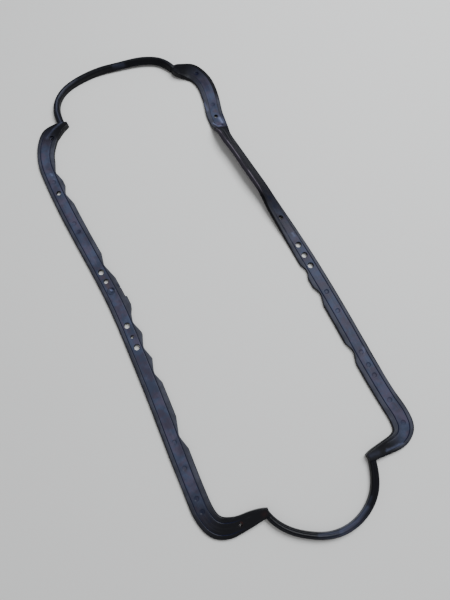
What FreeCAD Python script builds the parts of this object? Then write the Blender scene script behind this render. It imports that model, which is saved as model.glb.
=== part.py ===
import FreeCAD, Part
import math
import os
from FreeCAD import Vector

# Moulded rubber oil pan gasket, lying on its face. X runs across the two side
# rails, Y runs from the narrow arch to the wide arch, Z is up. Sizes in mm.

# The loop: from the foot of the narrow arch to the crown of the wide arch, and
# between the middle lines of the two rails where they are furthest apart
loop_length = 553.5
loop_width = 221.2

# Flat rail section
rail_thickness = 4.0
band_half_width = 5.0
outer_flange = 5.2
inner_flange = 5.8
groove_width = 1.0
groove_depth = 0.6
groove_run_out = 1.6
rail_edge_bevel = 0.9

# Grooves and bevels keep within these shares of the flange beside them, and the
# grooves run out where a corner block has thickened the rail by groove_run_out
groove_share = 0.4
bevel_share = 0.3

# Ribbed arch section
arch_width = 6.9
arch_height = 7.5
rib_spacing = 2.3
rib_height = 0.7
arch_edge_bevel = 1.0

# Bolt holes and the marks in the centre band
bolt_hole_diameter = 6.4
small_hole_diameter = 4.4
pin_hole_diameter = 3.0
dimple_diameter = 4.6
dimple_depth = 0.5
collar_diameter = 7.6
collar_height = 0.6

# Straight row of holes in the right rail, and the pair across from it
right_row_middle = -33.6
right_row_pitch = 13.9
right_row_count = 3
left_pair_middle = -31.9
left_pair_pitch = 26.3
left_pair_count = 2

# Scallops that clear the bosses beside the rails: two ramps and a round valley.
# The ramps run past the edge of a rail of the plain width by scallop_overrun
scallop_radius = 10.0
scallop_depth = 4.3
scallop_overrun = 1.25

# Torn nick in the inner flange of the left rail
nick_place = 24.4
nick_width = 1.4
nick_depth = 3.5

# How far the mouldings run below the resting plane before they are trimmed flat,
# and how far the trimming block reaches past them
underside_trim = 0.3
trim_margin = 10.0

# Stations along the route of each side, counterclockwise seen from above. Each
# gives the middle of the centre band (x, y), the share of the full width, the
# thickness added by the corner block, and the roll that lifts the inner edge.
# Their places are stretched to the length and width of the loop given above.
left_side = [
    (-67.8, 246.8, 0.20, 2.0, 0),
    (-70.5, 246.7, 0.34, 2.4, 0),
    (-75.5, 246.4, 0.52, 2.6, 0),
    (-83.5, 244.8, 0.82, 1.9, 0),
    (-92.5, 242.0, 1.06, 0.8, 0),
    (-100.5, 233.3, 1.06, 0.2, 0),
    (-106.7, 221.9, 1.00, 0.0, 0),
    (-111.0, 207.2, 0.96, 0.0, 0),
    (-112.2, 187.0, 0.97, 0.0, 0),
    (-111.6, 147.0, 0.98, 0.0, 0),
    (-106.7, 68.0, 0.98, 0.0, 0),
    (-103.2, 8.0, 1.03, 0.0, 0),
    (-104.4, -51.0, 1.02, 0.0, 0),
    (-107.0, -115.0, 1.02, 0.0, 0),
    (-110.1, -170.0, 1.02, 0.0, 0),
    (-111.8, -208.0, 1.00, 0.0, 0),
    (-111.2, -228.0, 1.00, 0.0, 0),
    (-105.3, -241.2, 1.00, 0.0, 0),
    (-95.0, -246.8, 0.92, 0.4, 0),
    (-85.0, -248.4, 0.77, 1.0, 0),
    (-75.0, -248.8, 0.69, 1.8, 0),
    (-65.0, -249.2, 0.57, 2.8, 0),
    (-54.6, -250.9, 0.38, 3.3, 0),
]

right_side = [
    (57.0, -251.6, 0.36, 3.6, 0),
    (64.0, -251.3, 0.52, 3.2, 0),
    (72.0, -251.2, 0.60, 2.4, 0),
    (80.0, -251.3, 0.68, 1.6, 0),
    (88.5, -251.3, 0.77, 0.9, 0),
    (97.5, -249.6, 0.88, 0.4, 0),
    (105.2, -243.4, 1.04, 0.0, 0),
    (108.1, -232.0, 1.06, 0.0, 0),
    (107.3, -213.0, 1.02, 0.0, 0),
    (106.6, -175.0, 1.00, 0.0, 0),
    (107.6, -120.0, 0.98, 0.0, 0),
    (107.6, -60.0, 0.97, 0.0, 0),
    (106.8, -15.0, 0.89, 0.0, 0),
    (104.9, 18.0, 0.84, 0.0, 13),
    (103.6, 38.0, 0.82, 0.1, 24),
    (103.1, 50.0, 0.81, 0.3, 35),
    (102.3, 62.0, 0.86, 0.5, 41),
    (100.3, 84.0, 0.91, 0.5, 43),
    (97.3, 120.0, 0.89, 0.5, 44),
    (95.6, 138.0, 0.91, 0.5, 43),
    (95.6, 148.0, 0.88, 0.4, 38),
    (96.4, 154.5, 0.90, 0.2, 22),
    (97.5, 161.0, 0.92, 0.0, 6),
    (98.5, 168.0, 0.95, 0.0, 0),
    (100.1, 180.0, 0.98, 0.0, 0),
    (104.2, 195.0, 0.98, 0.0, 0),
    (107.5, 210.0, 1.01, 0.0, 0),
    (109.0, 225.5, 1.03, 0.0, 0),
    (106.3, 240.3, 1.08, 0.2, 0),
    (99.9, 250.6, 1.14, 1.0, 0),
    (91.4, 255.2, 1.00, 1.8, 4),
    (84.8, 258.2, 0.79, 2.4, 10),
    (80.2, 261.4, 0.40, 2.6, 16),
]

# Stations of the two arches, in the same form as those of the sides
narrow_arch = [
    (-57.2, -250.5, 0.97, 0.0, 0),
    (-51.0, -265.5, 0.96, 0.0, 0),
    (-40.7, -277.7, 0.95, 0.0, 0),
    (-28.0, -287.2, 0.94, 0.0, 0),
    (-14.0, -294.5, 0.94, 0.0, 0),
    (1.9, -298.0, 0.97, 0.0, 0),
    (18.2, -296.8, 1.00, 0.0, 0),
    (33.8, -290.9, 1.06, 0.0, 0),
    (46.9, -280.6, 1.12, 0.0, 0),
    (55.8, -266.7, 1.09, 0.0, 0),
    (61.0, -251.3, 1.00, 0.0, 0),
]

wide_arch = [
    (85.2, 256.8, 0.85, -2.0, 10),
    (80.5, 262.0, 1.00, 0.2, 18),
    (75.9, 269.4, 0.95, 1.2, 26),
    (68.6, 278.7, 0.89, 1.2, 32),
    (57.3, 286.1, 0.95, 1.0, 34),
    (42.2, 291.5, 0.95, 0.8, 34),
    (22.0, 295.9, 0.93, 0.4, 28),
    (2.0, 300.4, 1.04, 0.0, 14),
    (-16.0, 301.9, 1.06, 0.0, 4),
    (-34.3, 300.2, 1.06, 0.0, 0),
    (-50.8, 295.4, 1.00, 0.0, 0),
    (-63.7, 286.4, 0.97, 0.0, 0),
    (-71.2, 275.4, 1.05, 0.0, 0),
    (-74.5, 263.0, 1.18, -0.5, 0),
    (-74.8, 248.5, 1.15, -1.6, 0),
]

# Scallops of each rail: the place of the valley along Y, and how far its ramps
# reach towards the wide arch and towards the narrow arch
left_scallops = [
    (192.0, 13.0, 14.0),
    (160.0, 11.0, 17.0),
    (56.5, 15.0, 20.0),
    (-17.5, 20.0, 13.0),
    (-47.5, 13.0, 14.0),
    (-77.5, 15.0, 12.0),
    (-147.0, 18.0, 14.0),
]
right_scallops = [
    (-51.5, 12.0, 10.0),
    (-81.0, 11.0, 15.0),
    (-152.5, 12.0, 14.0),
]

# Places along Y of the holes and marks of each rail
left_bolt_hole = 49.7
left_small_holes = [163.3, 37.3, -32.6]
left_dimples = [179.2, 118.7, 106.8, -151.0, -178.0, -208.7, -221.6]
left_collar = 24.4
right_small_holes = [18.5, 173.6]
right_dimples = [190.0, -82.2, -106.5, -157.0, -172.0, -184.0, -212.6]

# Corner holes and marks: the bolt hole lies off the band's middle, the others
# are seated where the band passes nearest to them
corner_bolt_hole = (-93.0, 236.0)
corner_pin_hole = (-83.8, -248.6)
corner_dimples = [(108.6, -238.4), (104.2, 242.2)]


def curve_through(points, parameters):
    """One smooth curve through the points."""
    curve = Part.BSplineCurve()
    curve.interpolate(Points=points, Parameters=parameters)
    return curve


def distances_along(points):
    """Running chord length from the first point to each point."""
    distances = [0.0]
    for before, after in zip(points, points[1:]):
        distances.append(distances[-1] + before.distanceToPoint(after))
    return distances


def route_of(stations):
    """The middle line of the stations and its parameter at each of them."""
    points = [Vector(station[0], station[1], 0) for station in stations]
    parameters = distances_along(points)
    return curve_through(points, parameters), parameters


def rail_section(width, block):
    """Corners (outward, up) of the flat rail with a groove each side of the band."""
    bottom = -underside_trim
    top = rail_thickness + block
    band = band_half_width * width
    outer = (band_half_width + outer_flange) * width
    inner = -(band_half_width + inner_flange) * width
    groove = min(groove_width, groove_share * outer_flange * width)
    bevel = min(rail_edge_bevel, bevel_share * outer_flange * width)
    depth = groove_depth * max(0.0, 1 - block / groove_run_out)
    return [
        (outer, bottom),
        (outer, top - bevel),
        (outer - bevel, top),
        (band + groove, top),
        (band + groove / 2, top - depth),
        (band, top),
        (-band, top),
        (-band - groove / 2, top - depth),
        (-band - groove, top),
        (inner + bevel, top),
        (inner, top - bevel),
        (inner, bottom),
    ]


def arch_section(width, added):
    """Corners (outward, up) of the arch with three ribs along its top."""
    bottom = -underside_trim
    top = arch_height + added
    half = arch_width / 2 * width
    rib = rib_spacing * width
    return [
        (half, bottom),
        (half, top - rib_height - arch_edge_bevel),
        (rib, top - rib_height / 2),
        (rib / 2, top - rib_height),
        (0, top),
        (-rib / 2, top - rib_height),
        (-rib, top - rib_height / 2),
        (-half, top - rib_height - arch_edge_bevel),
        (-half, bottom),
    ]


def placed_section(corners, centre, tangent, roll):
    """Section corners in space, rolled about the lower outer edge."""
    outward = Vector(tangent.y, -tangent.x, 0).normalize()
    reach = max(corner[0] for corner in corners)
    turn = math.radians(roll)
    placed = []
    for across, up in corners:
        sideways = across * math.cos(turn) + up * math.sin(turn)
        height = (reach - across) * math.sin(turn) + up * math.cos(turn)
        placed.append(centre + outward * sideways + Vector(0, 0, height))
    return placed


def moulded_body(stations, section):
    """Solid with the section carried through the stations."""
    route, parameters = route_of(stations)
    rows = []
    for station, parameter in zip(stations, parameters):
        x, y, width, added, roll = station
        tangent = route.tangent(parameter)[0]
        corners = section(width, added)
        rows.append(placed_section(corners, Vector(x, y, 0), tangent, roll))
    edges = []
    for corner in range(len(rows[0])):
        line = curve_through([row[corner] for row in rows], parameters)
        edges.append(line.toShape())
    faces = []
    for corner in range(len(edges)):
        faces.append(Part.makeRuledSurface(edges[corner - 1], edges[corner]))
    for row in (rows[0], rows[-1]):
        faces.append(Part.Face(Part.makePolygon(row + row[:1])))
    shell = Part.makeShell(faces)
    shell.sewShape()
    body = Part.makeSolid(shell)
    if body.Volume < 0:
        body.reverse()
    return body


def stretched(stations):
    """Stations moved out to the wanted length and width of the loop."""
    moved = []
    for x, y, width, block, roll in stations:
        moved.append((x * stretch_x, y * stretch_y, width, block, roll))
    return moved


def place_on_band(route, x, y):
    """Point of the band's middle line nearest to (x, y), and the outward direction."""
    parameter = route.parameter(Vector(x * stretch_x, y * stretch_y, 0))
    tangent = route.tangent(parameter)[0]
    return route.value(parameter), Vector(tangent.y, -tangent.x, 0).normalize()


def place_on_rail(route, side, y):
    """The same for the left rail (side -1) or the right rail (side 1) at y."""
    return place_on_band(route, side * loop_width / 2 / stretch_x, y)


def upright_hole(point, diameter):
    """Cutter for a hole right through the rail."""
    depth = 3 * (rail_thickness + arch_height)
    return Part.makeCylinder(diameter / 2, 2 * depth, point - Vector(0, 0, depth))


def hole_row(middle, pitch, count):
    """Cutters for a straight row of bolt holes along Y, evenly spaced about its middle."""
    row = []
    for number in range(count):
        along = (number - (count - 1) / 2) * pitch
        row.append(upright_hole(middle + Vector(0, along, 0), bolt_hole_diameter))
    return row


def dimple(point):
    """Cutter for a shallow round hollow in the top of the rail."""
    floor = point + Vector(0, 0, rail_thickness - dimple_depth)
    return Part.makeCylinder(dimple_diameter / 2, 2 * dimple_depth, floor)


def collar(point):
    """Raised round collar on top of the band, rooted at half its thickness."""
    root = point + Vector(0, 0, rail_thickness / 2)
    return Part.makeCylinder(collar_diameter / 2, rail_thickness / 2 + collar_height, root)


def scallop(point, outward, reach_to_wide, reach_to_narrow):
    """Cutter for the hollow in the inner edge: two ramps that meet in a round valley."""
    along = Vector(-outward.y, outward.x, 0)
    if along.y < 0:
        along = -along
    inward = -outward
    valley = point + inward * (band_half_width + inner_flange - scallop_depth)
    lip = inward * scallop_depth
    first = valley + (lip + along * reach_to_wide) * scallop_overrun
    second = valley + (lip - along * reach_to_narrow) * scallop_overrun
    clear = inward * inner_flange
    outline = Part.makePolygon([valley, first, first + clear, second + clear, second, valley])
    cutter = Part.Face(outline).extrude(Vector(0, 0, 2 * rail_thickness))
    middle = valley + Vector(0, 0, rail_thickness)
    edges = [edge for edge in cutter.Edges if edge.CenterOfMass.isEqual(middle, scallop_depth / 10)]
    return cutter.makeFillet(scallop_radius, edges)


def nick(point, outward):
    """Wedge-shaped cutter for the tear in the inner edge."""
    inner_edge = band_half_width + inner_flange
    along = Vector(-outward.y, outward.x, 0) * nick_width
    tip = point - outward * (inner_edge - nick_depth)
    mouth = point - outward * (inner_edge + nick_depth)
    wedge = Part.makePolygon([tip, mouth + along, mouth - along, tip])
    return Part.Face(wedge).extrude(Vector(0, 0, 2 * rail_thickness))


# Stations stretched to the loop's size
drawn = left_side + right_side + wide_arch
stretch_x = loop_width / (max(row[0] for row in drawn) - min(row[0] for row in drawn))
stretch_y = loop_length / (max(row[1] for row in drawn) - min(row[1] for row in drawn))
left_side = stretched(left_side)
right_side = stretched(right_side)
narrow_arch = stretched(narrow_arch)
wide_arch = stretched(wide_arch)

# The four mouldings that run round the loop
left_body = moulded_body(left_side, rail_section)
right_body = moulded_body(right_side, rail_section)
narrow_body = moulded_body(narrow_arch, arch_section)
wide_body = moulded_body(wide_arch, arch_section)
left_route = route_of(left_side)[0]
right_route = route_of(right_side)[0]
raised_ring = collar(place_on_rail(left_route, -1, left_collar)[0])
gasket = left_body.fuse([right_body, narrow_body, wide_body, raised_ring])

# Underside trimmed flat
box = gasket.BoundBox
below = Part.makeBox(
    box.XLength + 2 * trim_margin,
    box.YLength + 2 * trim_margin,
    trim_margin,
    Vector(box.XMin - trim_margin, box.YMin - trim_margin, -trim_margin),
)
gasket = gasket.cut(below)

# Scallops, holes, dimples and the nick
cutters = []
for y, to_wide, to_narrow in left_scallops:
    cutters.append(scallop(*place_on_rail(left_route, -1, y), to_wide, to_narrow))
for y, to_wide, to_narrow in right_scallops:
    cutters.append(scallop(*place_on_rail(right_route, 1, y), to_wide, to_narrow))
cutters.append(upright_hole(place_on_rail(left_route, -1, left_bolt_hole)[0], bolt_hole_diameter))
left_pair = place_on_rail(left_route, -1, left_pair_middle)[0]
right_row = place_on_rail(right_route, 1, right_row_middle)[0]
cutters.extend(hole_row(left_pair, left_pair_pitch, left_pair_count))
cutters.extend(hole_row(right_row, right_row_pitch, right_row_count))
for y in left_small_holes:
    cutters.append(upright_hole(place_on_rail(left_route, -1, y)[0], small_hole_diameter))
for y in right_small_holes:
    cutters.append(upright_hole(place_on_rail(right_route, 1, y)[0], small_hole_diameter))
for y in left_dimples:
    cutters.append(dimple(place_on_rail(left_route, -1, y)[0]))
for y in right_dimples:
    cutters.append(dimple(place_on_rail(right_route, 1, y)[0]))
for x, y in corner_dimples:
    cutters.append(dimple(place_on_band(right_route, x, y)[0]))
bolt_x, bolt_y = corner_bolt_hole
corner_bolt = Vector(bolt_x * stretch_x, bolt_y * stretch_y, 0)
cutters.append(upright_hole(corner_bolt, bolt_hole_diameter))
cutters.append(upright_hole(place_on_band(left_route, *corner_pin_hole)[0], pin_hole_diameter))
cutters.append(nick(*place_on_rail(left_route, -1, nick_place)))
gasket = gasket.cut(cutters)

# Origin under the middle of the loop
box = gasket.optimalBoundingBox(False, False)
gasket.translate(Vector(-box.Center.x, -box.Center.y, -box.ZMin))

os.makedirs("parts", exist_ok=True)
gasket.exportStep("parts/gasket.step")
print("solids", len(gasket.Solids), "valid", gasket.isValid(), "volume", round(gasket.Volume))
print("row middles", right_row, left_pair)
print("moved by", round(-box.Center.x, 2), round(-box.Center.y, 2), round(-box.ZMin, 2))
print("size", round(box.XLength, 1), round(box.YLength, 1), round(box.ZLength, 1))
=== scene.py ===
import math

import bpy
import numpy as np
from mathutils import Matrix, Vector
from mathutils.kdtree import KDTree


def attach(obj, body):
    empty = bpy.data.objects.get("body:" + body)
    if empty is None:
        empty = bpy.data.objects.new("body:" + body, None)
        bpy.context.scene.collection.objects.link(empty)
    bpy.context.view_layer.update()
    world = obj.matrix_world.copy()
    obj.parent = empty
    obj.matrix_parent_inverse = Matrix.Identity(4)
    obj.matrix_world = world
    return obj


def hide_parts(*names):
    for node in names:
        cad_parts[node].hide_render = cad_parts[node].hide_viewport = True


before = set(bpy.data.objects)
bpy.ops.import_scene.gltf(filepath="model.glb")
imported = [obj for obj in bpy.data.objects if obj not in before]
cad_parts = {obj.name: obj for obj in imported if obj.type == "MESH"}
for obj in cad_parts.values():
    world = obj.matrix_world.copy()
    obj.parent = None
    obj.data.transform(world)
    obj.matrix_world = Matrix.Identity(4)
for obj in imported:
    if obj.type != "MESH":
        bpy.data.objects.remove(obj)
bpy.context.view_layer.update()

# Where the photograph was taken from, in metres and degrees
photoView = {
    "place": (-0.0578, -0.1705, 0.4982),
    "heading": 26.7,        # from +Y towards +X
    "downAngle": 73.96,
    "focalPixels": 470.0,   # in the photograph's 450 x 600 frame
    "framePixels": 600.0,
    "sensor": 24.0,         # mm, along the frame's long side
    "shiftX": -0.0019,      # share of the frame's long side
}


def addCamera():
    bpy.ops.object.camera_add(location=photoView["place"])
    camera = bpy.context.object
    camera.name = "photoCamera"
    camera.rotation_euler = (
        math.radians(90 - photoView["downAngle"]),
        0,
        math.radians(-photoView["heading"]),
    )
    camera.data.sensor_fit = "VERTICAL"
    camera.data.sensor_height = photoView["sensor"]
    camera.data.lens = photoView["focalPixels"] / photoView["framePixels"] * photoView["sensor"]
    camera.data.shift_x = photoView["shiftX"]
    camera.data.clip_start = 0.01
    bpy.context.scene.camera = camera
    print("camera placed")


# Floor and light: a broad cool window-like key from the far right, a weak fill
studio = {
    "floorColor": (0.86, 0.84, 0.81, 1),
    "floorRoughness": 0.92,
    "floorSize": 6.0,
    "skyColor": (0.93, 0.96, 1.0, 1),
    "skyStrength": 0.32,
    "keyPlace": (0.82, 0.30, 1.36),
    "keySize": 1.0,
    "keyPower": 29.0,
    "keyColor": (0.92, 0.96, 1.0),
    "fillPlace": (-0.9, -0.6, 1.2),
    "fillSize": 1.4,
    "fillPower": 1.5,
    "fillColor": (1.0, 0.97, 0.93),
}


def areaLight(name, place, size, power, color):
    bpy.ops.object.light_add(type="AREA", location=place)
    light = bpy.context.object
    light.name = name
    light.data.size = size
    light.data.energy = power
    light.data.color = color
    light.rotation_euler = (-Vector(place)).to_track_quat("-Z", "Y").to_euler()


def addStudio():
    bpy.ops.mesh.primitive_plane_add(size=studio["floorSize"], location=(0, 0, 0))
    floor = bpy.context.object
    floor.name = "floor"
    paper = bpy.data.materials.new("palePaper")
    paper.use_nodes = True
    shader = paper.node_tree.nodes["Principled BSDF"]
    shader.inputs["Base Color"].default_value = studio["floorColor"]
    shader.inputs["Roughness"].default_value = studio["floorRoughness"]
    floor.data.materials.append(paper)
    world = bpy.data.worlds.new("softSky")
    world.use_nodes = True
    sky = world.node_tree.nodes["Background"]
    sky.inputs["Color"].default_value = studio["skyColor"]
    sky.inputs["Strength"].default_value = studio["skyStrength"]
    bpy.context.scene.world = world
    for use in ("key", "fill"):
        place, size, power, color = (studio[use + value] for value in ("Place", "Size", "Power", "Color"))
        areaLight(use + "Light", place, size, power, color)
    print("floor and lights placed")


def deselectAll():
    if bpy.context.object and bpy.context.object.mode != "OBJECT":
        bpy.ops.object.mode_set(mode="OBJECT")
    bpy.ops.object.select_all(action="DESELECT")


def makeActive(piece):
    deselectAll()
    piece.select_set(True)
    bpy.context.view_layer.objects.active = piece


def applyModifier(piece, kind, **settings):
    makeActive(piece)
    modifier = piece.modifiers.new(kind.lower(), kind)
    for name, value in settings.items():
        setattr(modifier, name, value)
    bpy.ops.object.modifier_apply(modifier=modifier.name)


# The moulding's run, seen from above: the middle of the band (x, y) in mm, the
# share of the full width, the added thickness and the roll of the section
guideLines = {
    "leftSide": [
        (-66.4, 244.5, 0.20, 2.0, 0), (-69.1, 244.4, 0.34, 2.4, 0), (-74.1, 244.1, 0.52, 2.6, 0),
        (-82.1, 242.5, 0.82, 1.9, 0), (-91.1, 239.7, 1.06, 0.8, 0), (-99.1, 231.0, 1.06, 0.2, 0),
        (-105.3, 219.6, 1.00, 0.0, 0), (-109.6, 204.9, 0.96, 0.0, 0), (-110.8, 184.7, 0.97, 0.0, 0),
        (-110.2, 144.7, 0.98, 0.0, 0), (-105.3, 65.7, 0.98, 0.0, 0), (-101.8, 5.7, 1.03, 0.0, 0),
        (-103.0, -53.3, 1.02, 0.0, 0), (-105.6, -117.3, 1.02, 0.0, 0), (-108.7, -172.3, 1.02, 0.0, 0),
        (-110.4, -210.3, 1.00, 0.0, 0), (-109.8, -230.3, 1.00, 0.0, 0), (-103.9, -243.5, 1.00, 0.0, 0),
        (-93.6, -249.1, 0.92, 0.4, 0), (-83.6, -250.7, 0.77, 1.0, 0), (-73.6, -251.1, 0.69, 1.8, 0),
        (-63.6, -251.5, 0.57, 2.8, 0), (-53.2, -253.2, 0.38, 3.3, 0),
    ],
    "rightSide": [
        (58.4, -253.9, 0.36, 3.6, 0), (65.4, -253.6, 0.52, 3.2, 0), (73.4, -253.5, 0.60, 2.4, 0),
        (81.4, -253.6, 0.68, 1.6, 0), (89.9, -253.6, 0.77, 0.9, 0), (98.9, -251.9, 0.88, 0.4, 0),
        (106.6, -245.7, 1.04, 0.0, 0), (109.5, -234.3, 1.06, 0.0, 0), (108.7, -215.3, 1.02, 0.0, 0),
        (108.0, -177.3, 1.00, 0.0, 0), (109.0, -122.3, 0.98, 0.0, 0), (109.0, -62.3, 0.97, 0.0, 0),
        (108.2, -17.3, 0.89, 0.0, 0), (106.3, 15.7, 0.84, 0.0, 13), (105.0, 35.7, 0.82, 0.1, 24),
        (104.5, 47.7, 0.81, 0.3, 35), (103.7, 59.7, 0.86, 0.5, 41), (101.7, 81.7, 0.91, 0.5, 43),
        (98.7, 117.7, 0.89, 0.5, 44), (97.0, 135.7, 0.91, 0.5, 43), (97.0, 145.7, 0.88, 0.4, 38),
        (97.8, 152.2, 0.90, 0.2, 22), (98.9, 158.7, 0.92, 0.0, 6), (99.9, 165.7, 0.95, 0.0, 0),
        (101.5, 177.7, 0.98, 0.0, 0), (105.6, 192.7, 0.98, 0.0, 0), (108.9, 207.7, 1.01, 0.0, 0),
        (110.4, 223.2, 1.03, 0.0, 0), (107.7, 238.0, 1.08, 0.2, 0), (101.3, 248.3, 1.14, 1.0, 0),
        (92.8, 252.9, 1.00, 1.8, 4), (86.2, 255.9, 0.79, 2.4, 10), (81.6, 259.1, 0.40, 2.6, 16),
    ],
    "wideArch": [
        (86.6, 254.5, 0.85, -2.0, 10), (81.9, 259.7, 1.00, 0.2, 18), (77.3, 267.1, 0.95, 1.2, 26),
        (70.0, 276.4, 0.89, 1.2, 32), (58.7, 283.8, 0.95, 1.0, 34), (43.6, 289.2, 0.95, 0.8, 34),
        (23.4, 293.6, 0.93, 0.4, 28), (3.4, 298.1, 1.04, 0.0, 14), (-14.6, 299.6, 1.06, 0.0, 4),
        (-32.9, 297.9, 1.06, 0.0, 0), (-49.4, 293.1, 1.00, 0.0, 0), (-62.3, 284.1, 0.97, 0.0, 0),
        (-69.8, 273.1, 1.05, 0.0, 0), (-73.1, 260.7, 1.18, -0.5, 0), (-73.4, 246.2, 1.15, -1.6, 0),
    ],
    "narrowArch": [
        (-55.8, -252.8, 0.97, 0.0, 0), (-49.6, -267.8, 0.96, 0.0, 0), (-39.3, -280.0, 0.95, 0.0, 0),
        (-26.6, -289.5, 0.94, 0.0, 0), (-12.6, -296.8, 0.94, 0.0, 0), (3.3, -300.3, 0.97, 0.0, 0),
        (19.6, -299.1, 1.00, 0.0, 0), (35.2, -293.2, 1.06, 0.0, 0), (48.3, -282.9, 1.12, 0.0, 0),
        (57.2, -269.0, 1.09, 0.0, 0), (62.4, -253.6, 1.00, 0.0, 0),
    ],
}
guideNames = list(guideLines)
guideStep = 24              # drawn points between two stations
sideTop, archTop = 4.0, 7.5     # mm, plain height of the sides and of the arches


def drawGuide(name):
    # the run as a smooth curve: places, and the station values at each of them
    stations = guideLines[name]
    curve = bpy.data.curves.new(name, "CURVE")
    curve.dimensions = "3D"
    spline = curve.splines.new("BEZIER")
    spline.bezier_points.add(len(stations) - 1)
    for knot, station in zip(spline.bezier_points, stations):
        knot.co = (station[0] / 1000, station[1] / 1000, 0)
        knot.handle_left_type = knot.handle_right_type = "AUTO"
    spline.resolution_u = guideStep
    guide = bpy.data.objects.new(name, curve)
    bpy.context.scene.collection.objects.link(guide)
    bpy.context.view_layer.update()
    line = bpy.data.meshes.new_from_object(guide)
    points = np.array([vertex.co for vertex in line.vertices])
    bpy.data.objects.remove(guide)
    share = np.linspace(0, len(stations) - 1, len(points))
    values = np.array([station[2:] for station in stations])
    knots = np.arange(len(stations))
    carried = np.column_stack([np.interp(share, knots, values[:, column]) for column in range(3)])
    return points, carried


def flowAlongGuides(piece):
    # where every vertex sits on the moulding: distance along its run, distance
    # outward over its (rolled) face, and the run's own values there
    middles, rows = [], []
    for number, name in enumerate(guideNames):
        points, carried = drawGuide(name)
        steps = np.diff(points, axis=0)
        lengths = np.linalg.norm(steps, axis=1)
        along = np.concatenate([[0], np.cumsum(lengths)])
        for spot in range(len(steps)):
            heading = steps[spot] / lengths[spot]
            middles.append((points[spot] + points[spot + 1]) / 2)
            rows.append((heading[1], -heading[0], along[spot], along[-1], number, *carried[spot]))
    rows = np.array(rows)
    tree = KDTree(len(middles))
    for number, middle in enumerate(middles):
        tree.insert(middle, number)
    tree.balance()
    places = readPlaces(piece)
    nearest = np.array([tree.find((x, y, 0))[1] for x, y, z in places])
    near = rows[nearest]
    gap = places[:, :2] - np.array(middles)[nearest][:, :2]
    outward = near[:, :2]
    roll = np.radians(near[:, 7])
    top = np.where(near[:, 4] < 2, sideTop, archTop) + near[:, 6]
    across = ((gap * outward).sum(axis=1) - top / 1000 * np.sin(roll)) / np.cos(roll)
    return {
        "along": near[:, 2],
        "fromEnd": near[:, 3] - near[:, 2],
        "across": across,
        "guide": near[:, 4].astype(int),
        "width": near[:, 5],
        "added": near[:, 6],
        "upward": np.column_stack([outward * np.sin(roll)[:, None], np.cos(roll)]),
    }


# The moulded rubber itself
rubberPiece = {
    "voxel": 0.00038,       # size of the remesh grid
    "rounding": 2,          # smoothing passes over the moulded edges
    "mergeWithin": 0.00001,
    "triangles": 190000,    # after thinning
    "outerDroop": 0.0006,   # how far the flange lips hang below the band
    "innerDroop": 0.00025,
    "bandEdge": 0.0062,
    "lipEdge": 0.0105,
    "cornerDroop": 0.0006,  # more of it round the twisted rail's corner
    "cornerFrom": 0.165,    # along Y, where that starts and is full
    "cornerFull": 0.2,
    "raisedFrom": 0.001,    # height over the floor above which the rubber may move
    "raisedFull": 0.003,
    "weightSteps": 20,      # levels of the weight that holds the underside down
    "waveHeight": 0.0006,   # slow unevenness of the laid-out rubber
    "waveLength": 0.05,
    "lumpHeight": 0.00018,  # finer moulded unevenness
    "lumpLength": 0.008,
}

# Worn rims: the middle of the hole, its radius and how far it has opened (or,
# below nought, closed), in mm
rimReach = 1.1
openRims = [
    (-110.6, 161.0, 2.2, 0.5),
    (-103.0, 35.4, 2.2, 0.5),
    (-102.3, -35.1, 2.2, -0.45),
    (106.3, 15.8, 2.2, 0.3),
]

# The pressed ring on the left rail, in mm
pressedRing = {
    "x": -101.5,
    "y": 23.2,
    "radius": 2.9,
    "lineWidth": 0.75,
    "height": 0.5,
    "hollow": 0.8,          # how deep its middle is
    "hollowFloor": 0.8,     # and the radius of that middle's flat floor
}

# Moulded lip at the bottom of the corner hole, in mm
cornerLip = {
    "x": -91.6,
    "y": 233.7,
    "z": 1.6,
    "ringRadius": 2.3,
    "ringThickness": 1.45,
}

# Where the inner lip of the left rail has torn and spread: along Y, in mm
tornLip = {
    "from": 11.0,
    "to": -14.0,
    "abrupt": 1.2,          # length of the torn end
    "fade": 10.0,           # length over which the other end closes
    "spread": 1.7,
    "across": 0.007,        # metres from the middle of the band where it starts
}

# Folds pinched into the rubber where the twisted stretch begins: the two ends
# of each ridge, its half width and its height, in mm
foldEnds = 0.35             # share of the height left at a ridge's ends
pinchFolds = [
    (93.6, 160.5, 94.6, 152.5, 1.1, 1.0),
    (94.2, 151.5, 99.6, 154.0, 1.2, 0.9),
    (99.5, 159.0, 103.6, 163.5, 2.2, 0.6),
    (105.5, 161.0, 108.0, 169.0, 1.8, 0.5),
    (98.5, 150.0, 97.5, 126.0, 1.2, 0.5),
    (102.5, 152.0, 102.0, 124.0, 1.6, 0.5),
]


def smoothStep(values, low, high):
    share = np.clip((values - low) / (high - low), 0, 1)
    return share * share * (3 - 2 * share)


def readPlaces(piece):
    places = np.empty(len(piece.data.vertices) * 3)
    piece.data.vertices.foreach_get("co", places)
    return places.reshape(-1, 3)


def raisedShare(places):
    # 0 on the underside, 1 where the rubber may move
    return smoothStep(places[:, 2], rubberPiece["raisedFrom"], rubberPiece["raisedFull"])


def writePlaces(piece, places):
    piece.data.vertices.foreach_set("co", places.ravel())
    piece.data.update()


def weightGroup(piece, name, weights):
    group = piece.vertex_groups.new(name=name)
    levels = rubberPiece["weightSteps"]
    steps = np.round(weights * levels).astype(int)
    for step in range(1, levels + 1):
        members = np.nonzero(steps == step)[0]
        group.add(members.tolist(), step / levels, "REPLACE")


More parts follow.
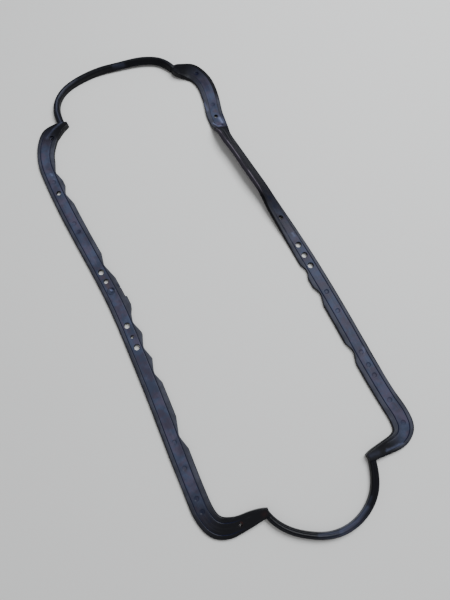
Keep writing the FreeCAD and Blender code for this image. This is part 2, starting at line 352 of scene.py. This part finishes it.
def copyOfNode(name, pieceName):
    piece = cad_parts[name].copy()
    piece.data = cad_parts[name].data.copy()
    piece.name = pieceName
    piece.parent = None
    bpy.context.scene.collection.objects.link(piece)
    makeActive(piece)
    bpy.ops.object.mode_set(mode="EDIT")
    bpy.ops.mesh.select_all(action="SELECT")
    bpy.ops.mesh.remove_doubles(threshold=rubberPiece["mergeWithin"])
    bpy.ops.object.mode_set(mode="OBJECT")
    return piece


def cloudTexture(name, size, depth):
    clouds = bpy.data.textures.new(name, "CLOUDS")
    clouds.noise_scale = size
    clouds.noise_depth = depth
    return clouds


def distanceToLine(places, startX, startY, endX, endY):
    # distance in mm from a line drawn from above, and the share along it
    start = np.array([startX, startY]) / 1000
    run = np.array([endX, endY]) / 1000 - start
    share = np.clip((places[:, :2] - start) @ run / max(run @ run, 1e-12), 0, 1)
    gap = np.linalg.norm(places[:, :2] - start - share[:, None] * run, axis=1)
    return gap * 1000, share


def addCornerLip(piece):
    # fused to the rest by the remesh that follows
    bpy.ops.mesh.primitive_torus_add(
        location=(cornerLip["x"] / 1000, cornerLip["y"] / 1000, cornerLip["z"] / 1000),
        major_radius=cornerLip["ringRadius"] / 1000,
        minor_radius=cornerLip["ringThickness"] / 1000,
        major_segments=40,
        minor_segments=16,
    )
    ring = bpy.context.object
    makeActive(piece)
    ring.select_set(True)
    bpy.ops.object.join()


def wearRubber(piece, flow):
    # rims worn open, the pressed ring, and the spread lip beside it
    places = readPlaces(piece)
    for x, y, radius, opened in openRims:
        away = places[:, :2] - np.array([x, y]) / 1000
        reach = np.maximum(np.linalg.norm(away, axis=1), 1e-6)
        pull = opened / 1000 * np.exp(-(((reach * 1000 - radius) / rimReach) ** 2))
        places[:, :2] += away / reach[:, None] * pull[:, None]
    reach = np.hypot(places[:, 0] * 1000 - pressedRing["x"], places[:, 1] * 1000 - pressedRing["y"])
    away = (reach - pressedRing["radius"]) / pressedRing["lineWidth"]
    ridge = np.exp(-(away ** 2)) * pressedRing["height"]
    hollow = 1 - smoothStep(reach, pressedRing["hollowFloor"], pressedRing["radius"])
    hollow *= pressedRing["hollow"]
    places[:, 2] += (ridge - hollow) / 1000 * raisedShare(places)
    lip = (flow["guide"] == 0) * smoothStep(-flow["across"], tornLip["across"], rubberPiece["lipEdge"])
    alongY = places[:, 1] * 1000
    torn = 1 - smoothStep(alongY, tornLip["from"] - tornLip["abrupt"], tornLip["from"])
    torn *= smoothStep(alongY, tornLip["to"], tornLip["to"] + tornLip["fade"])
    places[:, 0] += lip * torn * tornLip["spread"] / 1000
    writePlaces(piece, places)


def settleRubber(piece):
    # flange lips hang, folds pinch up; the underside stays on the floor
    flow = flowAlongGuides(piece)
    wearRubber(piece, flow)
    places = readPlaces(piece)
    rail = flow["guide"] < 2
    raised = raisedShare(places)
    outer = smoothStep(flow["across"], rubberPiece["bandEdge"], rubberPiece["lipEdge"])
    inner = smoothStep(-flow["across"], rubberPiece["bandEdge"], rubberPiece["lipEdge"])
    corner = smoothStep(places[:, 1], rubberPiece["cornerFrom"], rubberPiece["cornerFull"])
    corner *= flow["guide"] == 1
    droop = outer * (rubberPiece["outerDroop"] + corner * rubberPiece["cornerDroop"])
    droop += inner * rubberPiece["innerDroop"]
    places[:, 2] -= droop * rail * raised
    for startX, startY, endX, endY, width, height in pinchFolds:
        gap, share = distanceToLine(places, startX, startY, endX, endY)
        ridge = np.exp(-((gap / width) ** 2)) * (foldEnds + (1 - foldEnds) * np.sin(np.pi * share))
        places[:, 2] += ridge * height / 1000 * raised
    writePlaces(piece, places)
    weightGroup(piece, "raised", raised)


# What the shading follows, in mm: the grooves beside the band, the round
# hollows, the stretches that keep the worn bloom with its painted sheen, and marks on the rubber
shadeGuides = {
    "edgeBend": (0.03, 0.22),       # how sharply the mesh turns at a worn edge
    "hollowBend": (0.03, 0.2),      # and in a hollow
    "topFacing": (0.55, 0.92),      # how far a face has to look upward
    "bandHalf": 5.0,
    "grooveFade": 1.6,      # added thickness at which the grooves have run out
    "hollowRadius": 2.3,
    "hollows": [
        (-110.7, 176.9), (-108.8, 116.5), (-108.1, 104.6), (-107.6, -153.4), (-109.0, -180.3),
        (-110.4, -210.9), (-110.5, -223.9), (104.8, 189.9), (109.2, -84.5), (109.2, -108.8),
        (108.4, -159.2), (108.1, -174.2), (108.0, -186.2), (108.7, -215.1), (108.8, -240.4),
        (106.8, 240.4),
    ],
    # the bloom, with its painted sheen, starts and ends that far from each end of the run
    "bloomSheenStart": {
        "leftSide": (12, 60),
        "rightSide": (22, 52),
        "wideArch": (0, 1),
        "narrowArch": (45, 110),
    },
    "bloomSheenEnd": {
        "leftSide": (45, 105),
        "rightSide": (14, 52),
        "wideArch": (0, 1),
        "narrowArch": (45, 95),
    },
    "bloomSheenFull": {"leftSide": 1.0, "rightSide": 1.0, "wideArch": 0.03, "narrowArch": 0.8},
    # how glossy the skin stays where no bloom has dulled it
    "shine": {"leftSide": 0.30, "rightSide": 0.20, "wideArch": 0.20, "narrowArch": 0.22},
    "outerRimShade": (8.5, 9.5, 0.92),       # from the middle of the band, and the share of the bloom and painted sheen taken off: painted shade at the outer rim
    "fadedGrooves": (-45, 5, 0.7),      # along Y, where the right rail's grooves show less
    "twistedStretch": (-40, 156, 0.94),     # along Y, and the share of the bloom and painted sheen lost there: painted shade on the face turned away
    "twistedFades": (100, 3),               # how slowly that comes and how soon it goes
    "ridgeStretch": (45, 154, 20),          # along Y, and how slowly the painted highlight line starts
    "ridgeStop": 2,
    "cornerShade": (196, 226, 0.42),      # along Y, and the share of the bloom and painted sheen lost at the right corner: painted shade
    "cornerFlangeShade": (192, 204, 0.95),       # the same painted shade on the outer flange there
    "flangeStart": (5.4, 6.2),              # from the middle of the band
    "dullCorner": (0.235, 0.247, 0.8),      # along Y in metres, and the share of the shine lost
    "archEdge": 0.3,        # the arches' edges get this much of the rails' rubbing and painted edge highlight
    "archGap": -3.0,        # keeps the arches' whole face inside the band
    "farGap": 0.01,         # metres from a hollow beyond which nothing changes
}

# Marks seen from above: the two ends and the half width in mm, and the strength
brownMarks = [
    (-103.6, 32.0, -103.4, 27.5, 2.3, 0.75),
    (-104.0, 42.5, -103.4, 40.0, 2.0, 0.5),
    (102.8, 178.0, 104.4, 181.0, 1.6, 0.5),
    (-91.0, 18.5, -89.5, 14.5, 1.6, 0.5),
    (-109.4, -180.0, -108.6, -182.5, 1.5, 0.5),
]
rustMarks = [
    (-82.3, -250.7, -81.4, -250.1, 1.1, 0.45),
    (-58.5, -252.5, -57.0, -252.0, 2.2, 0.07),
]
# mostly painted highlights: on the folds at the twist, the pressed ring, edges and the arches' tops, and a
# painted sheen patch on the left band; a few small ones are scratches
highlightScratchMarks = [
    (-110.0, 189.0, -108.8, 186.5, 0.8, 0.8),
    (-109.2, 181.5, -107.9, 180.0, 0.7, 0.5),
    (-102.4, 24.0, -101.2, 22.2, 0.9, 0.75),
    (103.6, 168.6, 103.9, 161.2, 1.6, 0.95),
    (109.0, -6.0, 110.0, -11.0, 1.0, 0.45),
    (106.0, 166.0, 106.6, 160.0, 0.9, 0.5),
    (93.2, 165.5, 95.2, 159.6, 0.55, 0.9),
    (95.6, 157.6, 99.6, 156.6, 0.55, 0.8),
    (96.2, 197.0, 95.4, 185.0, 1.3, 0.4),
    (111.0, -160.0, 112.4, -157.0, 1.6, 0.4),
    (-106.2, 62.0, -108.0, 98.0, 3.4, 0.12),
    (0.0, -298.3, 19.0, -297.2, 1.9, 0.26),
    (19.0, -297.2, 34.0, -291.2, 2.0, 0.24),
    (34.0, -291.2, 42.0, -285.2, 1.5, 0.08),
    (-20.0, -292.0, 0.0, -298.3, 1.4, 0.16),
    (78.4, -255.8, 97.4, -257.3, 0.9, 0.35),
    (61.5, -252.5, 70.0, -253.5, 2.0, 0.10),
    (-73.4, 250.0, -72.0, 266.0, 1.3, 0.16),
    (-72.0, 266.0, -65.5, 281.0, 1.3, 0.18),
    (-65.5, 281.0, -51.0, 292.0, 1.3, 0.16),
    (-51.0, 292.0, -33.0, 298.0, 1.2, 0.12),
    (29.0, 292.0, 16.0, 295.2, 1.4, 0.14),
    (-97.0, 236.5, -86.0, 243.5, 1.0, 0.2),
    (-86.0, 243.5, -72.0, 248.0, 1.0, 0.3),
]
# painted shade: dark spots in hollows, in the crease, round the pressed ring, at the torn lip and under the
# bent flange, with a few more dark spots
darkShadeMarks = [
    (-93.0, 25.8, -90.2, 17.8, 1.3, 0.7),
    (-90.2, 17.8, -89.2, 12.0, 1.1, 0.7),
    (-99.4, 24.6, -99.0, 22.6, 0.8, 0.7),
    (-102.4, 20.4, -100.8, 20.6, 0.7, 0.6),
    (105.6, 42.8, 105.6, 42.8, 1.9, 0.6),
    (106.0, 31.0, 106.0, 31.0, 1.7, 0.5),
    (102.3, 158.4, 102.5, 157.6, 1.3, 0.9),
    (-108.1, 104.6, -108.1, 104.6, 2.1, 0.6),
    (106.8, 240.4, 106.8, 240.4, 2.6, 0.8),
    (104.8, 189.9, 104.8, 189.9, 2.2, 0.45),
    (109.5, 212.0, 110.5, 222.0, 3.0, 0.35),
    (103.4, 229.0, 104.6, 226.0, 2.6, 0.35),
    (109.2, 172.0, 106.9, 156.0, 1.7, 0.75),
    (-110.4, -210.9, -110.4, -210.9, 1.9, 0.55),
    (-110.5, -223.9, -110.5, -223.9, 1.9, 0.7),
    (-107.5, -234.8, -107.0, -235.4, 1.2, 0.5),
    (108.4, -240.4, 108.8, -240.4, 1.8, 0.4),
]


def shadeMasks(piece):
    # everything the material needs, read from the finished mesh
    mesh = piece.data
    places = readPlaces(piece)
    normals = np.empty(len(mesh.vertices) * 3)
    mesh.vertices.foreach_get("normal", normals)
    normals = normals.reshape(-1, 3)
    ends = np.empty(len(mesh.edges) * 2, dtype=int)
    mesh.edges.foreach_get("vertices", ends)
    ends = ends.reshape(-1, 2)
    first, second = ends[:, 0], ends[:, 1]
    step = places[second] - places[first]
    length = np.linalg.norm(step, axis=1)
    bend = np.zeros(len(places))
    count = np.zeros(len(places))
    np.add.at(bend, first, (step * normals[first]).sum(axis=1) / length)
    np.add.at(bend, second, (-step * normals[second]).sum(axis=1) / length)
    np.add.at(count, first, 1)
    np.add.at(count, second, 1)
    bend /= np.maximum(count, 1)
    for turn in range(2):
        spread = np.zeros(len(places))
        np.add.at(spread, first, bend[second])
        np.add.at(spread, second, bend[first])
        bend = (bend + spread / np.maximum(count, 1)) / 2

    flow = flowAlongGuides(piece)
    rail = flow["guide"] < 2
    facing = (normals * flow["upward"]).sum(axis=1)
    # the worn bloom and the painted bluish sheen it carries on the upward flats
    bloomSheen = np.zeros(len(places))
    shine = np.zeros(len(places))
    for number, name in enumerate(guideNames):
        here = flow["guide"] == number
        rise = smoothStep(flow["along"][here] * 1000, *shadeGuides["bloomSheenStart"][name])
        fall = smoothStep(flow["fromEnd"][here] * 1000, *shadeGuides["bloomSheenEnd"][name])
        bloomSheen[here] = rise * fall * shadeGuides["bloomSheenFull"][name]
        shine[here] = shadeGuides["shine"][name]
    right = flow["guide"] == 1
    alongY = places[:, 1] * 1000
    # painted shade: the twisted face loses most of its painted sheen
    low, high, lost = shadeGuides["twistedStretch"]
    fadeIn, fadeOut = shadeGuides["twistedFades"]
    twisted = smoothStep(alongY, low, low + fadeIn) * (1 - smoothStep(alongY, high - fadeOut, high)) * right
    bloomSheen *= 1 - lost * twisted
    # painted shade at the right corner, on the band and on its outer flange
    low, high, lost = shadeGuides["cornerShade"]
    bloomSheen *= 1 - lost * smoothStep(alongY, low, high) * right
    low, high, lost = shadeGuides["cornerFlangeShade"]
    inside, outside = shadeGuides["flangeStart"]
    outerLip = smoothStep(flow["across"] * 1000, inside * flow["width"], outside * flow["width"])
    bloomSheen *= 1 - lost * smoothStep(alongY, low, high) * right * outerLip
    # painted shade along the rails' outer rim
    low, high, lost = shadeGuides["outerRimShade"]
    rim = smoothStep(flow["across"] * 1000, low * flow["width"], high * flow["width"])
    bloomSheen *= 1 - lost * rim * rail
    # where the painted highlight line and the painted wall light run on the twisted stretch
    low, high, fade = shadeGuides["ridgeStretch"]
    ridge = smoothStep(alongY, low, low + fade)
    ridge *= 1 - smoothStep(alongY, high - shadeGuides["ridgeStop"], high)
    hollowGap = np.full(len(places), shadeGuides["farGap"])
    for x, y in shadeGuides["hollows"]:
        away = np.hypot(places[:, 0] - x / 1000, places[:, 1] - y / 1000)
        hollowGap = np.minimum(hollowGap, away - shadeGuides["hollowRadius"] / 1000)
    marks = {}
    marksHere = {
        "brownMark": brownMarks,
        "rustMark": rustMarks,
        "highlightScratchMark": highlightScratchMarks,
        "darkShadeMark": darkShadeMarks,
    }
    for name, lines in marksHere.items():
        marks[name] = np.zeros(len(places))
        for startX, startY, endX, endY, width, strength in lines:
            gap = distanceToLine(places, startX, startY, endX, endY)[0]
            marks[name] = np.maximum(marks[name], strength * np.exp(-((gap / width) ** 2)))
    low, high, lost = shadeGuides["fadedGrooves"]
    groovesLeft = 1 - lost * smoothStep(alongY, low, high) * right
    grooveGap = np.abs(flow["across"]) * 1000 - shadeGuides["bandHalf"] * flow["width"]
    low, high, lost = shadeGuides["dullCorner"]
    shine *= (1 - twisted) * (1 - lost * right * smoothStep(places[:, 1], low, high))
    # rubbed edges, and the painted highlight along them
    edges = smoothStep(-bend, *shadeGuides["edgeBend"])
    values = {
        "edgeWearHighlightMask": edges * np.where(rail, 1, shadeGuides["archEdge"]),
        "hollowShadeMask": smoothStep(bend, *shadeGuides["hollowBend"]),
        "topMask": smoothStep(facing, *shadeGuides["topFacing"]),
        "bloomSheenMask": bloomSheen,
        "grooveGap": np.where(rail, grooveGap, shadeGuides["archGap"]),
        "grooveShare": rail * groovesLeft * (1 - smoothStep(flow["added"], 0.3, shadeGuides["grooveFade"])),
        "hollowGap": hollowGap * 1000,
        "shineMask": shine,
        "ridgeShare": ridge * right * (flow["across"] < 0),
        **marks,
    }
    for name, perVertex in values.items():
        layer = mesh.attributes.new(name, "FLOAT", "POINT")
        layer.data.foreach_set("value", perVertex)
    lay = mesh.attributes.new("railFlow", "FLOAT_VECTOR", "POINT")
    flowPlaces = np.column_stack([flow["along"], flow["across"], places[:, 2]])
    lay.data.foreach_set("vector", flowPlaces.ravel())
    print("shading masks written")


def addSocket(group, name, kind, direction, value=None):
    socket = group.interface.new_socket(name=name, in_out=direction, socket_type="NodeSocket" + kind)
    if value is not None:
        socket.default_value = value


def newGroup(name, inputs, outputs):
    group = bpy.data.node_groups.new(name, "ShaderNodeTree")
    for socketName, (kind, value) in inputs.items():
        addSocket(group, socketName, kind, "INPUT", value)
    for socketName, kind in outputs.items():
        addSocket(group, socketName, kind, "OUTPUT")
    source = group.nodes.new("NodeGroupInput")
    target = group.nodes.new("NodeGroupOutput")
    return group, source, target


def mathNode(tree, operation, first, second=None, clamp=False):
    node = tree.nodes.new("ShaderNodeMath")
    node.operation = operation
    node.use_clamp = clamp
    for socket, value in zip(node.inputs, (first, second)):
        if value is None:
            continue
        if isinstance(value, (int, float)):
            socket.default_value = value
        else:
            tree.links.new(value, socket)
    return node.outputs[0]


def noiseNode(tree, vector, scale, detail, roughness):
    node = tree.nodes.new("ShaderNodeTexNoise")
    node.inputs["Detail"].default_value = detail
    node.inputs["Roughness"].default_value = roughness
    tree.links.new(vector, node.inputs["Vector"])
    if isinstance(scale, (int, float)):
        node.inputs["Scale"].default_value = scale
    else:
        tree.links.new(scale, node.inputs["Scale"])
    return node.outputs["Fac"]


def rangeNode(tree, value, low, high, toLow=0.0, toHigh=1.0):
    node = tree.nodes.new("ShaderNodeMapRange")
    node.interpolation_type = "SMOOTHSTEP"
    node.inputs["From Min"].default_value = low
    node.inputs["From Max"].default_value = high
    node.inputs["To Min"].default_value = toLow
    node.inputs["To Max"].default_value = toHigh
    tree.links.new(value, node.inputs["Value"])
    return node.outputs[0]


def mixColors(tree, share, first, second):
    node = tree.nodes.new("ShaderNodeMix")
    node.data_type = "RGBA"
    tree.links.new(share, node.inputs["Factor"])
    for socket, value in ((node.inputs[6], first), (node.inputs[7], second)):
        if isinstance(value, tuple):
            socket.default_value = value
        else:
            tree.links.new(value, socket)
    return node.outputs[2]


def grainGroup():
    # fine moulded grain and slow dull patches
    group, source, target = newGroup(
        "rubberGrain",
        {
            "Vector": ("Vector", None),
            "Grain Scale": ("Float", 2600.0),
            "Patch Scale": ("Float", 60.0),
            "Tint Scale": ("Float", 110.0),
        },
        {"Grain": "Float", "Patches": "Float", "Tints": "Float"},
    )
    grain = noiseNode(group, source.outputs["Vector"], source.outputs["Grain Scale"], 3, 0.6)
    patches = noiseNode(group, source.outputs["Vector"], source.outputs["Patch Scale"], 5, 0.62)
    tints = noiseNode(group, source.outputs["Vector"], source.outputs["Tint Scale"], 3, 0.55)
    group.links.new(rangeNode(group, tints, 0.38, 0.62), target.inputs["Tints"])
    group.links.new(grain, target.inputs["Grain"])
    group.links.new(rangeNode(group, patches, 0.34, 0.68), target.inputs["Patches"])
    return group


def dustGroup():
    # specks of dust, thicker where the patches let them lie
    group, source, target = newGroup(
        "settledDust",
        {"Vector": ("Vector", None), "Speck Scale": ("Float", 900.0), "Cover": ("Float", 0.5)},
        {"Dust": "Float"},
    )
    specks = group.nodes.new("ShaderNodeTexVoronoi")
    group.links.new(source.outputs["Vector"], specks.inputs["Vector"])
    group.links.new(source.outputs["Speck Scale"], specks.inputs["Scale"])
    near = rangeNode(group, specks.outputs["Distance"], 0.1, 0.22, 1.0, 0.0)
    where = noiseNode(group, source.outputs["Vector"], 60.0, 3, 0.6)
    cover = mathNode(group, "MULTIPLY", rangeNode(group, where, 0.5, 0.72), source.outputs["Cover"])
    group.links.new(mathNode(group, "MULTIPLY", near, cover), target.inputs["Dust"])
    return group


def scuffGroup():
    # long thin scuffs that run with the moulding
    group, source, target = newGroup(
        "scuffLines",
        {"Flow": ("Vector", None), "Stretch": ("Float", 28.0), "Fine": ("Float", 900.0)},
        {"Scuffs": "Float"},
    )
    parts = group.nodes.new("ShaderNodeSeparateXYZ")
    group.links.new(source.outputs["Flow"], parts.inputs[0])
    lay = group.nodes.new("ShaderNodeCombineXYZ")
    group.links.new(mathNode(group, "MULTIPLY", parts.outputs[0], source.outputs["Stretch"]), lay.inputs[0])
    group.links.new(mathNode(group, "MULTIPLY", parts.outputs[1], source.outputs["Fine"]), lay.inputs[1])
    group.links.new(mathNode(group, "MULTIPLY", parts.outputs[2], source.outputs["Fine"]), lay.inputs[2])
    lines = noiseNode(group, lay.outputs[0], 1.0, 3, 0.55)
    group.links.new(rangeNode(group, lines, 0.52, 0.74), target.inputs["Scuffs"])
    return group


def grooveGroup():
    # painted shade as a dark line in the groove beside the band, and the band's own flat
    group, source, target = newGroup(
        "bandAndGrooveShade",
        {"Gap": ("Float", 0.0), "Middle": ("Float", 0.5), "Share": ("Float", 1.0)},
        {"GrooveShade": "Float", "Band": "Float"},
    )
    away = mathNode(group, "SUBTRACT", source.outputs["Gap"], source.outputs["Middle"])
    away = mathNode(group, "ABSOLUTE", away)
    line = rangeNode(group, away, 0.15, 0.7, 1.0, 0.0)
    group.links.new(mathNode(group, "MULTIPLY", line, source.outputs["Share"]), target.inputs["GrooveShade"])
    group.links.new(rangeNode(group, source.outputs["Gap"], -0.3, 0.3, 1.0, 0.0), target.inputs["Band"])
    return group


rubberLook = {
    "black": (0.0062, 0.0062, 0.0080, 1),
    "flange": (0.064, 0.066, 0.088, 1),     # worn bloom with a painted bluish sheen on the flat lips
    "band": (0.062, 0.074, 0.122, 1),       # and, bluer, the bloom and painted sheen on the band between the grooves
    "bandTint": (0.074, 0.066, 0.102, 1),
    # painted shade in the grooves, the hollows and the dark spots
    "groove": (0.004, 0.006, 0.024, 1),
    "dust": (0.14, 0.14, 0.17, 1),
    # rubbed edges, partly a painted highlight along them
    "edge": (0.060, 0.062, 0.085, 1),
    "ridge": (0.15, 0.125, 0.16, 1),        # painted highlight on the upper edge of the twisted stretch
    "paintedWallLight": (0.040, 0.036, 0.046, 1),       # and painted light on the wall below that edge
    "brown": (0.075, 0.052, 0.056, 1),
    "rust": (0.14, 0.035, 0.02, 1),
    # painted highlight, and the tone of a few scratches
    "highlightScratch": (0.15, 0.17, 0.28, 1),
    "specular": 0.03,
    "coatRoughness": 0.30,
    "plainRoughness": 0.40,
    "dullRoughness": 0.52,
    "bloomDulls": 0.7,      # how much the bloom, and the scuffs, add to the roughness
    "scuffsDull": 0.3,
    "hollowDulls": 0.3,
    "bloomOnCoat": 0.85,    # share of the glossy skin that full bloom hides
    "thinBloomSheen": 0.62,      # the bloom and its painted sheen that the patches leave at their thinnest
    "edgeWearHighlight": (0.05, 0.55),   # least and most of the rubbed edges and their painted highlight
    "ridgePlace": 4.55,     # mm outside the band
    "ridgeHighlightFaintest": 0.1,       # the painted highlight line at its faintest
    "dustOffBloom": 0.25,   # dust that lies where no bloom is
    "streakDust": 0.16,     # and along the scuffs
    "hollowRimShade": 0.32,      # painted shade: dark line round each hollow
    "bump": 0.30,
    "bumpDistance": 0.00025,
    "scuffHeight": 0.6,     # against the grain's height of 1
    "hollowDepth": 1.5,
}


def attributeNode(tree, name, output):
    node = tree.nodes.new("ShaderNodeAttribute")
    node.attribute_name = name
    return node.outputs[output]


def groupNode(tree, group):
    node = tree.nodes.new("ShaderNodeGroup")
    node.node_tree = group
    return node


def rubberMaterial():
    material = bpy.data.materials.new("mouldedRubber")
    material.use_nodes = True
    tree = material.node_tree
    links = tree.links
    shader = tree.nodes["Principled BSDF"]
    shader.inputs["Specular IOR Level"].default_value = rubberLook["specular"]
    shader.inputs["Coat Roughness"].default_value = rubberLook["coatRoughness"]
    place = tree.nodes.new("ShaderNodeTexCoord").outputs["Object"]

    grain = groupNode(tree, grainGroup())
    dust = groupNode(tree, dustGroup())
    scuffs = groupNode(tree, scuffGroup())
    bandLines = groupNode(tree, grooveGroup())
    links.new(place, grain.inputs["Vector"])
    links.new(place, dust.inputs["Vector"])
    links.new(attributeNode(tree, "railFlow", "Vector"), scuffs.inputs["Flow"])
    links.new(attributeNode(tree, "grooveGap", "Fac"), bandLines.inputs["Gap"])
    links.new(attributeNode(tree, "grooveShare", "Fac"), bandLines.inputs["Share"])
    patches = grain.outputs["Patches"]
    streaks = scuffs.outputs["Scuffs"]
    topSide = attributeNode(tree, "topMask", "Fac")

    # bloom and its painted sheen on the upper faces only, thinner where it has been rubbed away
    bloomSheen = mathNode(tree, "MULTIPLY", attributeNode(tree, "bloomSheenMask", "Fac"), topSide)
    bloomSheenLeft = rangeNode(tree, patches, 0.0, 1.0, rubberLook["thinBloomSheen"], 1.0)
    bloomSheen = mathNode(tree, "MULTIPLY", bloomSheen, bloomSheenLeft)
    bandColor = mixColors(tree, grain.outputs["Tints"], rubberLook["band"], rubberLook["bandTint"])
    flat = mixColors(tree, bandLines.outputs["Band"], rubberLook["flange"], bandColor)
    color = mixColors(tree, bloomSheen, rubberLook["black"], flat)
    # rubbed edges, lighter also as a painted edge highlight
    wear = rangeNode(tree, patches, 0.2, 1.0, *rubberLook["edgeWearHighlight"])
    rubbedAndLit = mathNode(tree, "MULTIPLY", attributeNode(tree, "edgeWearHighlightMask", "Fac"), wear)
    color = mixColors(tree, rubbedAndLit, color, rubberLook["edge"])

    # painted light on the twisted stretch's wall, and the painted highlight line above it
    ridge = attributeNode(tree, "grooveGap", "Fac")
    ridge = mathNode(tree, "SUBTRACT", ridge, rubberLook["ridgePlace"])
    ridge = mathNode(tree, "ABSOLUTE", ridge)
    ridgeShare = attributeNode(tree, "ridgeShare", "Fac")
    paintedWallLight = mathNode(tree, "MULTIPLY", ridgeShare, mathNode(tree, "SUBTRACT", 1.0, topSide))
    color = mixColors(tree, paintedWallLight, color, rubberLook["paintedWallLight"])
    ridge = mathNode(tree, "MULTIPLY", rangeNode(tree, ridge, 0.3, 0.85, 1.0, 0.0), ridgeShare)
    ridgeLeft = rangeNode(tree, patches, 0.1, 0.9, rubberLook["ridgeHighlightFaintest"], 1.0)
    ridge = mathNode(tree, "MULTIPLY", ridge, ridgeLeft)
    color = mixColors(tree, ridge, color, rubberLook["ridge"])

    # dust, then painted shade in the grooves and hollows, then the marks: stains, painted highlights and
    # painted shade
    lying = mathNode(tree, "ADD", bloomSheen, rubberLook["dustOffBloom"], clamp=True)
    lying = mathNode(tree, "MULTIPLY", topSide, lying)
    streaky = mathNode(tree, "MULTIPLY", streaks, rubberLook["streakDust"])
    dusty = mathNode(tree, "ADD", dust.outputs["Dust"], streaky, clamp=True)
    dusty = mathNode(tree, "MULTIPLY", dusty, lying)
    color = mixColors(tree, dusty, color, rubberLook["dust"])
    ring = mathNode(tree, "ABSOLUTE", attributeNode(tree, "hollowGap", "Fac"))
    ring = rangeNode(tree, ring, 0.1, 0.7, rubberLook["hollowRimShade"], 0.0)
    hollow = mathNode(tree, "MAXIMUM", bandLines.outputs["GrooveShade"], attributeNode(tree, "hollowShadeMask", "Fac"))
    hollow = mathNode(tree, "MULTIPLY", mathNode(tree, "MAXIMUM", hollow, ring), topSide)
    color = mixColors(tree, hollow, color, rubberLook["groove"])
    for mark, tone in (("brown", "brown"), ("rust", "rust"), ("highlightScratch", "highlightScratch"), ("darkShade", "groove")):
        color = mixColors(tree, attributeNode(tree, mark + "Mark", "Fac"), color, rubberLook[tone])
    links.new(color, shader.inputs["Base Color"])

    bloomDull = mathNode(tree, "MULTIPLY", bloomSheen, rubberLook["bloomDulls"])
    scuffDull = mathNode(tree, "MULTIPLY", streaks, rubberLook["scuffsDull"])
    dull = mathNode(tree, "ADD", bloomDull, scuffDull, clamp=True)
    rough = rangeNode(tree, dull, 0.0, 1.0, rubberLook["plainRoughness"], rubberLook["dullRoughness"])
    hollowDull = mathNode(tree, "MULTIPLY", hollow, rubberLook["hollowDulls"])
    rough = mathNode(tree, "ADD", rough, hollowDull, clamp=True)
    links.new(rough, shader.inputs["Roughness"])
    hidden = mathNode(tree, "MULTIPLY", bloomSheen, rubberLook["bloomOnCoat"])
    skin = mathNode(tree, "SUBTRACT", 1.0, hidden, clamp=True)
    skin = mathNode(tree, "MULTIPLY", attributeNode(tree, "shineMask", "Fac"), skin)
    links.new(skin, shader.inputs["Coat Weight"])

    scuffHeight = mathNode(tree, "MULTIPLY", streaks, rubberLook["scuffHeight"])
    height = mathNode(tree, "ADD", grain.outputs["Grain"], scuffHeight)
    depth = mathNode(tree, "MULTIPLY", hollow, rubberLook["hollowDepth"])
    height = mathNode(tree, "SUBTRACT", height, depth)
    bump = tree.nodes.new("ShaderNodeBump")
    bump.inputs["Strength"].default_value = rubberLook["bump"]
    bump.inputs["Distance"].default_value = rubberLook["bumpDistance"]
    links.new(height, bump.inputs["Height"])
    links.new(bump.outputs["Normal"], shader.inputs["Normal"])
    return material


def addRubber():
    piece = copyOfNode("gasket", "rubber_gasket")
    addCornerLip(piece)
    applyModifier(piece, "REMESH", mode="VOXEL", voxel_size=rubberPiece["voxel"])
    applyModifier(piece, "SMOOTH", factor=0.5, iterations=rubberPiece["rounding"])
    print("remeshed", len(piece.data.polygons))
    settleRubber(piece)
    for name, size, height in (
        ("slowWaves", rubberPiece["waveLength"], rubberPiece["waveHeight"]),
        ("fineLumps", rubberPiece["lumpLength"], rubberPiece["lumpHeight"]),
    ):
        applyModifier(
            piece,
            "DISPLACE",
            texture=cloudTexture(name, size, 2),
            texture_coords="LOCAL",
            direction="Z",
            mid_level=0.5,
            strength=height,
            vertex_group="raised",
        )
    ratio = rubberPiece["triangles"] / (2 * len(piece.data.polygons))
    applyModifier(piece, "DECIMATE", ratio=ratio)
    print("thinned", len(piece.data.polygons))
    makeActive(piece)
    bpy.ops.object.shade_smooth()
    piece.vertex_groups.clear()
    shadeMasks(piece)
    piece.data.materials.clear()
    piece.data.materials.append(rubberMaterial())
    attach(piece, "root")
    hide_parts("gasket")
    print("rubber gasket shaped")


addCamera()
addStudio()
addRubber()
